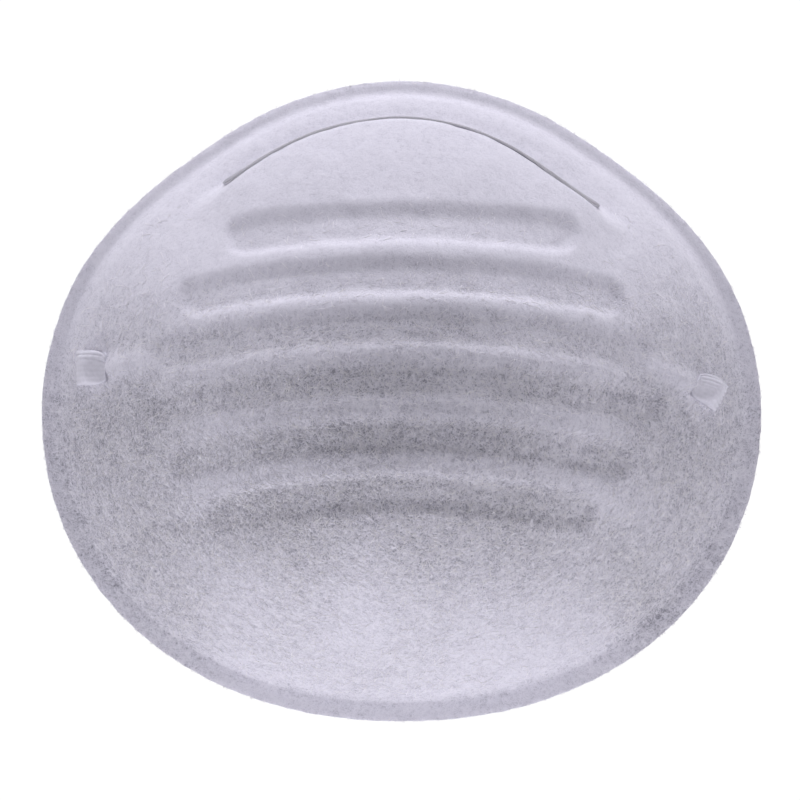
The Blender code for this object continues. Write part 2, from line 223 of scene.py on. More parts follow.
# Shares of the ridge that the strap's pull raises beside a slit, and of the mound under its weld
def strapPull(x, z):
    side = 1 if x > 0 else -1
    slit = strapEnds["rightSlit"] if side > 0 else strapEnds["leftSlit"]
    slant = strapEnds["rightSlant"] if side > 0 else strapEnds["leftSlant"]
    fromX = abs(slit[0]) - abs(x)
    line = slit[1] + fromX * math.tan(slant * 0.8) + 0.12 * max(fromX - 4 * mm, 0)
    ridge = math.exp(-((z - line) / strapEnds["ridgeHalf"]) ** 2)
    ridge *= smoothStep(-3 * mm, 2 * mm, fromX) * (1 - smoothStep(9 * mm, 20 * mm, fromX))
    wide, tall = strapEnds["moundSize"]
    mound = math.exp(-((fromX - strapEnds["moundPlace"]) / wide) ** 2 - ((z - line) / tall) ** 2)
    return ridge, mound


def strapRidge(x, z):
    ridge, mound = strapPull(x, z)
    slit = strapEnds["rightSlit"] if x > 0 else strapEnds["leftSlit"]
    extra, place, spread = strapEnds["ridgeNear"]
    close = extra * math.exp(-((abs(slit[0]) - abs(x) - place) / spread) ** 2)
    return (strapEnds["ridgeHeight"] + close) * ridge + strapEnds["moundHeight"] * mound


shag = {                           # how hairy the web is, from 0 for pressed smooth
    "nose": 0.1,
    "noseToCheek": (30 * mm, -8 * mm),
    "chinLess": 0.72,              # share taken off in the middle of the chin
    "weldLess": 0.8,               # and by the heat beside the welds
    "landLess": 0.6,               # and on the lands between the channels
    "rimShare": 0.5,
    "patches": 75,                 # scale of the thin and thick places
    "most": 1.3,
}


def napAt(x, z):
    low = smoothStep(*shag["noseToCheek"], z)
    cheek = smoothStep(24 * mm, 48 * mm, abs(x))
    chin = smoothStep(-20 * mm, -40 * mm, z)
    patch = 0.5 + 0.9 * noise.noise(Vector((x, 19, z)) * shag["patches"])
    nap = shag["nose"] + (1 - shag["nose"]) * low * (1 - shag["chinLess"] * chin * (1 - cheek))
    ridge, mound = strapPull(x, z)
    nap *= 1 - shag["weldLess"] * max(ridge, mound * 0.8)
    land = 1 - min(channelRelief(x, z) / (0.8 * mm), 1.0)
    land *= smoothStep(-19 * mm, -16 * mm, z + 4 * mm * (x / (40 * mm)) ** 2)
    nap *= 1 - shag["landLess"] * land * (1 - smoothStep(34 * mm, 48 * mm, abs(x)))
    angle, distance = polar(x, z)
    inwards = smoothStep(1.5 * mm, 4.5 * mm, outlineRadius(angle) - distance)
    nap *= shag["rimShare"] + (1 - shag["rimShare"]) * inwards
    return min(max(nap * (0.72 + 0.56 * patch), 0.0), shag["most"])


def webUneven(x, z, size):
    soft = 0.16 * noise.noise(Vector((x, 11, z)) * 130)
    soft += 0.10 * noise.noise(Vector((x, 5, z)) * 330)
    fine = 0.11 * noise.noise(Vector((x, 7, z)) * 800) * napAt(x, z)
    return size * mm * (soft + fine)


def cupPoint(x, z, setIn=0.0, uneven=0.0):
    angle, distance = polar(x, z)
    inset = outlineRadius(angle) - distance
    lift = ledgeLift(x, z) - channelRelief(x, z) + strapRidge(x, z) - setIn
    if uneven:
        lift += webUneven(x, z, uneven) * (0.35 + 0.65 * smoothStep(0, 6 * mm, inset))
    return Vector((x, -domeHeight(x, z), z)) + domeNormal(x, z) * lift


def addNode(tree, kind, **settings):
    node = tree.nodes.new(kind)
    for name, value in settings.items():
        setattr(node, name, value)
    return node


def joinNodes(tree, source, target):
    tree.links.new(source, target)


def mathNode(tree, operation, first, second=None, third=None):
    node = addNode(tree, "ShaderNodeMath", operation=operation)
    for socket, value in zip(node.inputs, (first, second, third)):
        if value is None:
            continue
        if isinstance(value, (int, float)):
            socket.default_value = value
        else:
            joinNodes(tree, value, socket)
    return node.outputs[0]


def newGroup(name, inputs, outputs):
    group = bpy.data.node_groups.new(name, "ShaderNodeTree")
    for label, kind, value in inputs:
        socket = group.interface.new_socket(name=label, in_out="INPUT", socket_type=kind)
        if value is not None:
            socket.default_value = value
    for label in outputs:
        group.interface.new_socket(name=label, in_out="OUTPUT", socket_type="NodeSocketFloat")
    start = group.nodes.new("NodeGroupInput")
    end = group.nodes.new("NodeGroupOutput")
    return group, start, end


# Masks of a needled web: crossing fibres, and the cloudy thick and thin places under them
def fibreWebGroup():
    group, start, end = newGroup("fibreWeb", [
        ("Place", "NodeSocketVector", None),
        ("Fibre Scale", "NodeSocketFloat", 1.0),
    ], ["Fibres", "Clouds", "Grain"])
    sized = addNode(group, "ShaderNodeVectorMath", operation="SCALE")
    joinNodes(group, start.outputs["Place"], sized.inputs[0])
    joinNodes(group, start.outputs["Fibre Scale"], sized.inputs["Scale"])
    strongest = None
    fibreSize = (2.0 * mm, 0.42 * mm, 0.42 * mm)
    turns = [(0.1, 0.4, 0.2), (0.3, 1.1, -0.2), (-0.2, 1.9, 0.3), (0.2, 2.6, 0.1),
             (-0.3, 3.3, -0.3)]
    for index, turn in enumerate(turns):
        mapping = addNode(group, "ShaderNodeMapping", vector_type="TEXTURE")
        mapping.inputs["Rotation"].default_value = turn
        mapping.inputs["Location"].default_value = (0.013 * index, 0.007 * index, 0.021 * index)
        mapping.inputs["Scale"].default_value = fibreSize
        joinNodes(group, sized.outputs[0], mapping.inputs["Vector"])
        streak = addNode(group, "ShaderNodeTexNoise", noise_dimensions="3D")
        streak.inputs["Scale"].default_value = 1.0
        streak.inputs["Detail"].default_value = 1.5
        streak.inputs["Distortion"].default_value = 0.6
        joinNodes(group, mapping.outputs[0], streak.inputs["Vector"])
        away = mathNode(group, "ABSOLUTE", mathNode(group, "SUBTRACT", streak.outputs["Fac"], 0.5))
        thin = mathNode(group, "SUBTRACT", 1.0, mathNode(group, "MULTIPLY", away, 9.0))
        thin = mathNode(group, "MAXIMUM", thin, 0.0)
        strongest = thin if strongest is None else mathNode(group, "MAXIMUM", strongest, thin)
    joinNodes(group, strongest, end.inputs["Fibres"])
    for label, scale, detail in (("Clouds", 400.0, 3.0), ("Grain", 1350.0, 2.5)):
        cloud = addNode(group, "ShaderNodeTexNoise", noise_dimensions="3D")
        cloud.inputs["Scale"].default_value = scale
        cloud.inputs["Detail"].default_value = detail
        cloud.inputs["Roughness"].default_value = 0.6
        joinNodes(group, sized.outputs[0], cloud.inputs["Vector"])
        joinNodes(group, cloud.outputs["Fac"], end.inputs[label])
    return group


def newMaterial(name):
    material = bpy.data.materials.new(name)
    material.use_nodes = True
    tree = material.node_tree
    tree.nodes.clear()
    shader = addNode(tree, "ShaderNodeBsdfPrincipled")
    output = addNode(tree, "ShaderNodeOutputMaterial")
    joinNodes(tree, shader.outputs[0], output.inputs["Surface"])
    return material, tree, shader


def rampNode(tree, value, stops):
    ramp = addNode(tree, "ShaderNodeValToRGB")
    while len(ramp.color_ramp.elements) < len(stops):
        ramp.color_ramp.elements.new(0.5)
    for element, (place, colour) in zip(ramp.color_ramp.elements, stops):
        element.position = place
        element.color = (*colour, 1)
    joinNodes(tree, value, ramp.inputs["Fac"])
    return ramp.outputs["Color"]


def bumpNode(tree, height, strength, distance, normal=None):
    bump = addNode(tree, "ShaderNodeBump")
    bump.inputs["Strength"].default_value = strength
    bump.inputs["Distance"].default_value = distance
    joinNodes(tree, height, bump.inputs["Height"])
    if normal is not None:
        joinNodes(tree, normal, bump.inputs["Normal"])
    return bump.outputs["Normal"]


# The darkest web colours are painted shade for the hollows between fibres, and the lightest are
# partly painted light on raised fibre middles
webLooks = {
    "outerWeb": {"pitShade": (0.385, 0.375, 0.46), "mid": (0.775, 0.757, 0.868),
                 "light": (0.925, 0.905, 1.0), "scale": 1.0, "bump": 1.0, "smooth": 0.14,
                 "roughness": 0.95, "sheen": 0.2},
    "liningWeb": {"pitShade": (0.62, 0.61, 0.65), "mid": (0.86, 0.85, 0.88), "light": (0.93, 0.92, 0.95),
                  "scale": 1.3, "bump": 0.5, "smooth": 0.2, "roughness": 0.85, "sheen": 0.15},
    "filterWeb": {"pitShade": (0.74, 0.74, 0.76), "mid": (0.90, 0.90, 0.92), "light": (0.95, 0.95, 0.96),
                  "scale": 1.6, "bump": 0.4, "smooth": 0.5, "roughness": 0.9, "sheen": 0.1},
}
webMix = {"grain": 1.1, "clouds": 0.95, "thread": 0.8, "pitShadeAt": 0.16, "lightAt": 0.84}
fibreWeb = fibreWebGroup()


# Pits and fibres of the web, as strong as the mesh's own nap attribute says, with painted shade in
# the pits and painted light on the raised fibres
def webMaterial(name):
    look = webLooks[name]
    material, tree, shader = newMaterial(name)
    place = addNode(tree, "ShaderNodeTexCoord")
    web = addNode(tree, "ShaderNodeGroup", node_tree=fibreWeb)
    web.inputs["Fibre Scale"].default_value = look["scale"]
    joinNodes(tree, place.outputs["Object"], web.inputs["Place"])
    fibres, clouds, grain = (web.outputs[k] for k in ("Fibres", "Clouds", "Grain"))
    nap = addNode(tree, "ShaderNodeAttribute", attribute_name="nap").outputs["Fac"]
    rough = mathNode(tree, "MULTIPLY_ADD", nap, 1 - look["smooth"], look["smooth"])
    spread = mathNode(tree, "MULTIPLY", mathNode(tree, "SUBTRACT", grain, 0.5),
                      webMix["grain"])
    patchy = mathNode(tree, "MULTIPLY", mathNode(tree, "SUBTRACT", clouds, 0.5),
                      webMix["clouds"])
    crossing = mathNode(tree, "POWER", fibres, 3.0)        # keeps only the fibres' bright middles
    thread = mathNode(tree, "MULTIPLY", mathNode(tree, "SUBTRACT", crossing, 0.5),
                      webMix["thread"])
    tone = mathNode(tree, "ADD", mathNode(tree, "ADD", spread, patchy), thread)
    tone = mathNode(tree, "MULTIPLY_ADD", tone, rough, 0.5)
    # Same grain and fibre masks as the bump height below: low places take painted shade and fibre
    # crests a lighter tone, over the web's own random tone
    shade = rampNode(tree, tone, [
        (webMix["pitShadeAt"], look["pitShade"]), (0.5, look["mid"]), (webMix["lightAt"], look["light"])])
    joinNodes(tree, shade, shader.inputs["Base Color"])
    height = mathNode(tree, "MULTIPLY", mathNode(tree, "MULTIPLY_ADD", crossing, 0.5, grain), rough)
    coarse = bumpNode(tree, clouds, look["bump"] * 0.35, 0.5 * mm)
    joinNodes(tree, bumpNode(tree, height, look["bump"], 0.2 * mm, coarse), shader.inputs["Normal"])
    shader.inputs["Roughness"].default_value = look["roughness"]
    shader.inputs["Sheen Weight"].default_value = look["sheen"]
    shader.inputs["Sheen Roughness"].default_value = 0.6
    shader.inputs["Specular IOR Level"].default_value = 0.2
    return material


def fibreMaterial():
    material, tree, shader = newMaterial("looseFibre")
    place = addNode(tree, "ShaderNodeTexCoord")
    cloud = addNode(tree, "ShaderNodeTexNoise")
    cloud.inputs["Scale"].default_value = 900.0
    joinNodes(tree, place.outputs["Object"], cloud.inputs["Vector"])
    joinNodes(tree, rampNode(tree, cloud.outputs["Fac"], [
        (0.35, (0.90, 0.88, 0.96)), (0.65, (0.98, 0.96, 1.0))]), shader.inputs["Base Color"])
    shader.inputs["Roughness"].default_value = 0.6
    return material


# Knitted rubber-cored band: UV x counts along the band in metres, UV y across it from 0 to 1
def elasticMaterial():
    material, tree, shader = newMaterial("ribbedElastic")
    uv = addNode(tree, "ShaderNodeUVMap", uv_map="band")
    parts = addNode(tree, "ShaderNodeSeparateXYZ")
    joinNodes(tree, uv.outputs[0], parts.inputs[0])
    stitch = addNode(tree, "ShaderNodeTexWave", wave_type="BANDS", bands_direction="X")
    stitch.inputs["Scale"].default_value = 260.0
    stitch.inputs["Distortion"].default_value = 1.2
    stitch.inputs["Detail"].default_value = 1.0
    joinNodes(tree, uv.outputs[0], stitch.inputs["Vector"])
    ribs = mathNode(tree, "SINE", mathNode(tree, "MULTIPLY", parts.outputs["Y"],
                                           2 * math.pi * strapEnds["ribs"]))
    place = addNode(tree, "ShaderNodeTexCoord")
    grain = addNode(tree, "ShaderNodeTexNoise")
    grain.inputs["Scale"].default_value = 1600.0
    grain.inputs["Detail"].default_value = 2.0
    joinNodes(tree, place.outputs["Object"], grain.inputs["Vector"])
    height = mathNode(tree, "MULTIPLY_ADD", stitch.outputs["Fac"], 0.08, grain.outputs["Fac"])
    # Painted light and shade, partly the knit's own tone: stripes in step with the ribs, and darker
    # where the bump height is low
    tone = mathNode(tree, "MULTIPLY_ADD", ribs, 0.06, mathNode(tree, "MULTIPLY", height, 0.55))
    joinNodes(tree, rampNode(tree, tone, [
        (0.15, (0.64, 0.625, 0.72)), (0.45, (0.74, 0.722, 0.825)), (0.75, (0.86, 0.842, 0.935))]),
        shader.inputs["Base Color"])
    joinNodes(tree, bumpNode(tree, height, 0.5, 0.12 * mm), shader.inputs["Normal"])
    shader.inputs["Roughness"].default_value = 0.8
    shader.inputs["Sheen Weight"].default_value = 0.2
    return material


# The two looks are copies of one aluminium. The edge copy is lighter, partly the cut edge's own
# look and partly painted light on the camera-facing edge, with painted shade on the face that meets
# the overhead lamp
stripLooks = {                     # darker and lighter lines left by the rollers
    "rolledAluminiumPaintedShade": ((0.40, 0.39, 0.44), (0.54, 0.525, 0.58)),
    "shearedEdgePaintedLight": ((0.46, 0.45, 0.50), (0.58, 0.565, 0.62)),
}


def stripMaterial(name):
    low, high = stripLooks[name]
    material, tree, shader = newMaterial(name)
    place = addNode(tree, "ShaderNodeTexCoord")
    mapping = addNode(tree, "ShaderNodeMapping")
    mapping.inputs["Scale"].default_value = (120, 4000, 120)       # lines run along the strip
    joinNodes(tree, place.outputs["Object"], mapping.inputs["Vector"])
    lines = addNode(tree, "ShaderNodeTexNoise")
    lines.inputs["Scale"].default_value = 1.0
    lines.inputs["Detail"].default_value = 4.0
    joinNodes(tree, mapping.outputs[0], lines.inputs["Vector"])
    smudge = addNode(tree, "ShaderNodeTexNoise")
    smudge.inputs["Scale"].default_value = 260.0
    joinNodes(tree, place.outputs["Object"], smudge.inputs["Vector"])
    joinNodes(tree, rampNode(tree, lines.outputs["Fac"], [(0.3, low), (0.7, high)]),
              shader.inputs["Base Color"])
    rough = mathNode(tree, "MULTIPLY_ADD", smudge.outputs["Fac"], 0.25, 0.38)
    joinNodes(tree, rough, shader.inputs["Roughness"])
    joinNodes(tree, bumpNode(tree, lines.outputs["Fac"], 0.3, 0.03 * mm), shader.inputs["Normal"])
    shader.inputs["Metallic"].default_value = 0.45
    return material


webMaterials = {name: webMaterial(name) for name in webLooks}
looseFibre = fibreMaterial()
ribbedElastic = elasticMaterial()
rolledAluminiumPaintedShade = stripMaterial("rolledAluminiumPaintedShade")
shearedEdgePaintedLight = stripMaterial("shearedEdgePaintedLight")
print("materials ready")


layers = {
    "outerCup": {"setIn": 0.0, "thickness": 0.9 * mm, "segments": 150, "uneven": 1.0, "edge": 0.0,
                 "ringStep": 0.5 * mm, "rimFront": 1.3 * mm, "rimBack": 0.55 * mm,
                 "rimLean": 0.75 * mm, "web": "outerWeb", "node": "outer_shell",
                 "slot": "outer_nonwoven"},
    "filterLayer": {"setIn": 1.2 * mm, "thickness": 0.6 * mm, "segments": 60, "uneven": 0.0,
                    "edge": 3.8 * mm, "ringStep": 1.2 * mm, "rimFront": 0.0, "rimBack": 0.0,
                    "rimLean": 0.0, "web": "filterWeb", "node": "filter_web",
                    "slot": "filter_web"},
    "innerLining": {"setIn": 2.1 * mm, "thickness": 0.8 * mm, "segments": 130, "uneven": 0.55,
                    "edge": 0.35 * mm, "ringStep": 0.6 * mm, "rimFront": 0.5 * mm, "rimBack": 0.0,
                    "rimLean": 0.2 * mm, "web": "liningWeb", "node": "inner_shell",
                    "slot": "inner_nonwoven"},
}
coreInset = 12 * mm                # the middle grid ends this far inside the edge
raggedEdge = 0.12 * mm
bandFold = (-1.3 * mm, 3.2 * mm)   # the fold into the dome starts and ends this far past the band


# Spreads a square grid over the round middle of the cup, seen from the front
def gridToOutline(bm):
    for vert in bm.verts:
        u, v = vert.co.x, vert.co.y
        px = u * math.sqrt(1 - v * v / 2)
        pz = v * math.sqrt(1 - u * u / 2)
        angle = math.atan2(px, pz)
        radius = (outlineRadius(angle) - coreInset) * math.hypot(px, pz)
        x, z = atRadius(angle, radius)
        vert.co = (x, 0, z)


# Carries the grid's border outwards, one ring of faces for each inset from the edge
def growRings(bm, insets):
    border = [edge for edge in bm.edges if edge.is_boundary]
    for inset in insets:
        grown = bmesh.ops.extrude_edge_only(bm, edges=border)["geom"]
        border = [item for item in grown
                  if isinstance(item, bmesh.types.BMEdge) and item.is_boundary]
        for vert in {vert for edge in border for vert in edge.verts}:
            angle, _ = polar(vert.co.x, vert.co.z)
            wander = raggedEdge * noise.noise(Vector((math.sin(angle), 2, math.cos(angle))) * 30)
            wander *= 1 - smoothStep(0, 1.2 * mm, inset)
            x, z = atRadius(angle, outlineRadius(angle) - inset + wander)
            vert.co = (x, 0, z)


def ringInsets(edge, step):
    insets = []
    inset = coreInset - step
    while inset > edge + 0.5 * step:
        insets.append(inset)
        inset -= step
    if edge < cup["rimWidth"]:     # close rings keep the fold of the pressed band crisp
        insets += [cup["rimWidth"] + k * 0.2 * mm for k in (-6, -4, -1, 0, 1)]
        insets += [edge + 0.15 * mm]
    insets += [edge]
    return sorted(set(round(k, 6) for k in insets), reverse=True)


# Depth of the flat band's face, leaning back a little and rounded off at its cut edge
def pressedRim(inset, width, x, z, look, front):
    worn = 0.16 * mm * (1 - smoothStep(0, 0.6 * mm, inset - look["edge"]))
    ripple = 0.03 * mm * noise.noise(Vector((x, 1, z)) * 500)
    back = look["rimLean"] * max(1 - inset / width, 0)
    if front:
        return -look["rimFront"] + back + worn + ripple
    return -look["rimBack"] + back * 0.45 - worn * 0.4 + ripple * 0.4


# A place on a layer's front or back face, with the fold at the pressed band rounded
def layerPoint(x, z, look, front):
    angle, distance = polar(x, z)
    inset = max(outlineRadius(angle) - distance, 0)
    behind = 0 if front else look["thickness"]
    domed = cupPoint(x, z, look["setIn"] + behind, look["uneven"])
    if not look["rimFront"]:
        return domed
    width = rimWidthAt(angle)
    if inset > width + bandFold[1]:
        return domed
    pressed = Vector((x, pressedRim(inset, width, x, z, look, front), z))
    return pressed.lerp(domed, smoothStep(width + bandFold[0], width + bandFold[1], inset))


def finishMesh(name, bm, material, smooth=True):
    bmesh.ops.recalc_face_normals(bm, faces=bm.faces)
    mesh = bpy.data.meshes.new(name)
    bm.to_mesh(mesh)
    bm.free()
    if smooth:
        mesh.shade_smooth()
    piece = bpy.data.objects.new(name, mesh)
    bpy.context.scene.collection.objects.link(piece)
    mesh.materials.append(material)
    return piece


def makeLayer(name):
    look = layers[name]
    bm = bmesh.new()
    bmesh.ops.create_grid(bm, x_segments=look["segments"], y_segments=look["segments"], size=1)
    gridToOutline(bm)
    growRings(bm, ringInsets(look["edge"], look["ringStep"]))
    front = list(bm.verts)
    doubled = bmesh.ops.extrude_face_region(bm, geom=bm.faces[:], use_keep_orig=True)["geom"]
    back = [item for item in doubled if isinstance(item, bmesh.types.BMVert)]
    for vert in front:
        vert.co = layerPoint(vert.co.x, vert.co.z, look, True)
    for vert in back:
        vert.co = layerPoint(vert.co.x, vert.co.z, look, False)
    piece = finishMesh(name, bm, webMaterials[look["web"]])
    nap = piece.data.attributes.new("nap", "FLOAT", "POINT")
    for vert in piece.data.vertices:
        nap.data[vert.index].value = napAt(vert.co.x, vert.co.z)
    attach(piece, "shell")
    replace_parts(piece, look["node"])
    return piece


for layerName in layers:
    makeLayer(layerName)
    print("layer made:", layerName)


fuzz = {
    "faceCount": 15000,
    "rimCount": 1500,
    "perPiece": 5000,
    "radius": 0.036 * mm,
    "length": (0.8 * mm, 2.4 * mm),
    "rimLength": (0.2 * mm, 0.6 * mm),
    "lift": 0.07 * mm,
    "seed": 7,
}


def addFibre(curve, points):
    spline = curve.splines.new("POLY")
    spline.points.add(len(points) - 1)
    for place, point in zip(spline.points, points):
        place.co = (*point, 1)


# The curve's tubes as one mesh, with doubled points merged
def fibreObject(name, curve, material):
    curve.bevel_depth = fuzz["radius"]
    curve.bevel_resolution = 0
    curve.use_fill_caps = True
    maker = bpy.data.objects.new(name + "Curve", curve)
    bpy.context.scene.collection.objects.link(maker)
    bpy.context.view_layer.update()
    drawn = maker.evaluated_get(bpy.context.evaluated_depsgraph_get())
    mesh = bpy.data.meshes.new_from_object(drawn)
    bpy.data.objects.remove(maker)
    bm = bmesh.new()
    bm.from_mesh(mesh)
    bmesh.ops.remove_doubles(bm, verts=bm.verts, dist=1e-6)
    bpy.data.meshes.remove(mesh)
    return finishMesh(name, bm, material)


def faceFuzz(chance, count):
    curve = bpy.data.curves.new("faceFuzz", "CURVE")
    curve.dimensions = "3D"
    made = 0
    while made < count:
        angle = chance.uniform(-math.pi, math.pi)
        edge = outlineRadius(angle) - cup["rimWidth"] - 1.5 * mm
        x, z = atRadius(angle, edge * math.sqrt(chance.random()))
        if chance.random() > napAt(x, z) - 0.05:
            continue
        heading = chance.uniform(0, 2 * math.pi)
        length = chance.uniform(*fuzz["length"])
        bend = chance.uniform(-1.2, 1.2)
        points = []
        for step in range(4):
            share = step / 3
            rise = fuzz["lift"] * (math.sin(math.pi * share) + 0.3) * chance.uniform(0.5, 1)
            points.append(cupPoint(x, z, -rise, 1.0))
            turned = heading + bend * share
            x += math.cos(turned) * length / 3 * 0.8
            z += math.sin(turned) * length / 3 * 0.8
        addFibre(curve, points)
        made += 1
    return curve


def rimFuzz(chance):
    curve = bpy.data.curves.new("rimFuzz", "CURVE")
    curve.dimensions = "3D"
    for _ in range(fuzz["rimCount"]):
        angle = chance.uniform(-math.pi, math.pi)
        inset = chance.uniform(0.0, 0.5) * mm
        y = -chance.uniform(0.1, 1.1) * mm
        length = chance.uniform(*fuzz["rimLength"])
        lean = chance.uniform(-1.3, 1.3)
        points = []
        for step in range(4):
            out = math.cos(lean) * length * step / 3
            x, z = atRadius(angle + math.sin(lean) * length * step / 3 / halfWidth,
                            outlineRadius(angle) - inset + out)
            points.append(Vector((x, y + chance.uniform(-0.06, 0.06) * mm * step, z)))
        addFibre(curve, points)
    return curve


chance = random.Random(fuzz["seed"])
fuzzCurves = [("webFuzz" + str(k), faceFuzz(chance, fuzz["perPiece"]))
              for k in range(fuzz["faceCount"] // fuzz["perPiece"])]
fuzzCurves.append(("edgeFuzz", rimFuzz(chance)))
for fuzzName, fuzzCurve in fuzzCurves:
    fuzzPiece = fibreObject(fuzzName, fuzzCurve, looseFibre)
    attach(fuzzPiece, "shell")
print("fuzz laid")


# Points along a smooth curve through the given ones
def smoothRoute(points, perSpan):
    route = []
    ends = [points[0] * 2 - points[1]] + list(points) + [points[-1] * 2 - points[-2]]
    for a, b, c, d in zip(ends, ends[1:], ends[2:], ends[3:]):
        for step in range(perSpan):
            t = step / perSpan
            route.append(0.5 * ((2 * b) + (c - a) * t + (2 * a - 5 * b + 4 * c - d) * t * t
                                + (3 * b - a - 3 * c + d) * t * t * t))
    route.append(points[-1].copy())
    return route


# A flat band along a route. across holds the vector to one edge and faceOut the face's direction
# at each point; shape(along, side) gives an extra height of the face, and shares of width and ribs
def bandMesh(name, route, across, faceOut, thickness, material, shape, widthSteps,
             ribs=0, ribHeight=0.0):
    bm = bmesh.new()
    uvLayer = bm.loops.layers.uv.new("band")
    lengthSteps = len(route) - 1
    bmesh.ops.create_grid(bm, x_segments=lengthSteps, y_segments=widthSteps, size=1)
    travelled = [0.0]
    for a, b in zip(route, route[1:]):
        travelled.append(travelled[-1] + (b - a).length)
    spots = {}
    for vert in bm.verts:
        index = round((vert.co.x + 1) / 2 * lengthSteps)
        side = vert.co.y
        spots[vert] = (index, side)
    for face in bm.faces:
        for loop in face.loops:
            index, side = spots[loop.vert]
            loop[uvLayer].uv = (travelled[index], (side + 1) / 2)
    front = list(bm.verts)
    doubled = bmesh.ops.extrude_face_region(bm, geom=bm.faces[:], use_keep_orig=True)["geom"]
    back = [item for item in doubled if isinstance(item, bmesh.types.BMVert)]
    backSpots = {}
    for vert in back:
        index = round((vert.co.x + 1) / 2 * lengthSteps)
        backSpots[vert] = (index, vert.co.y)
    for verts, places, sign in ((front, spots, 1), (back, backSpots, -1)):
        for vert in verts:
            index, side = places[vert]
            extra, narrow, ribbed = shape(travelled[index] / travelled[-1], side)
            rib = ribbed * ribHeight * abs(math.sin(math.pi * ribs * (side + 1) / 2))
            edge = 1 - 0.5 * smoothStep(0.9, 1.0, abs(side))
            height = sign * (thickness / 2 * edge + rib - ribHeight / 2)
            if sign > 0:
                height += extra
            vert.co = route[index] + across[index] * (side * narrow) + faceOut[index] * height
    band = finishMesh(name, bm, material)
    band.data.set_sharp_from_angle(angle=math.radians(50))
    return band


nose = {
    "width": 5.0 * mm,
    "thickness": 0.6 * mm,
    "start": math.radians(-38.2),
    "end": math.radians(44.2),
    "steps": 120,
    "clear": -0.1 * mm,              # pressed a little into the cup
    "forward": 0.22 * mm,
    "endTilt": 0.07,                # turns the ends' faces a little to the front
}


# A corner of the step across the nose: 1 for the crown's side of it, -1 for the edge's
def stepCorner(angle, sign):
    radius = outlineRadius(angle) - ledgeInset(angle) - sign * cup["ledgeHalfStep"]
    return cupPoint(*atRadius(angle, radius))


def makeNoseStrip():
    route, across, faceOut = [], [], []
    for step in range(nose["steps"] + 1):
        share = step / nose["steps"]
        angle = nose["start"] + (nose["end"] - nose["start"]) * share
        crown, edge = stepCorner(angle, 1), stepCorner(angle, -1)
        outwards = Vector((math.sin(angle), 0, math.cos(angle)))
        slope = (crown - edge).normalized()
        tilt = nose["endTilt"] * (2 * share - 1) ** 4
        slope = (slope - outwards * tilt).normalized()
        ahead = Vector((math.cos(angle), 0, -math.sin(angle)))
        face = ahead.cross(slope).normalized()
        if face.dot(outwards) < 0:
            face = -face
        kink = 0.05 * mm * noise.noise(Vector((share * 14, 1, 1)))
        clear = nose["clear"] + tilt * nose["width"] / 4 + nose["thickness"] / 2
        forward = slope * nose["forward"]
        route.append(crown.lerp(edge, 0.5) + face * (clear + kink) - forward)
        across.append(slope * nose["width"] / 2)
        faceOut.append(face)
    length = sum((b - a).length for a, b in zip(route, route[1:]))
    corner = nose["width"] * 0.5 / length

    def roundedEnd(along, side):
        fromEnd = min(along, 1 - along)
        narrow = math.sqrt(max(1 - (1 - min(fromEnd / corner, 1)) ** 2, 0.02))
        return 0.0, narrow, 0.0

    strip = bandMesh("noseStrip", route, across, faceOut, nose["thickness"], rolledAluminiumPaintedShade,
                     roundedEnd, 8)
    # Faces turned to the camera take the lighter edge copy, painted light where the overhead lamp
    # reaches less
    strip.data.materials.append(shearedEdgePaintedLight)
    for face in strip.data.polygons:
        if abs(face.normal.y) > 0.7:
            face.material_index = 1
    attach(strip, "shell")
    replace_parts(strip, "nose_clip")


makeNoseStrip()
print("nose strip bent")


def slitFrame(place, slant):
    side = 1 if place[0] > 0 else -1
    outwards = domeNormal(*place)
    ahead = Vector((-side * math.cos(slant), 0, math.sin(slant)))
    along = (ahead - outwards * ahead.dot(outwards)).normalized()
    return along, outwards.cross(along), outwards


def hingeSpot(side):
    low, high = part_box("head_strap")
    joint = frame["joints"][0]
    middle = Vector(joint["pos_m"])
    line = Vector(joint["axis"]).normalized()
    x = (high.x if side > 0 else low.x) - side * strapEnds["thickness"] / 2
    return middle + line * ((x - middle.x) / line.x)


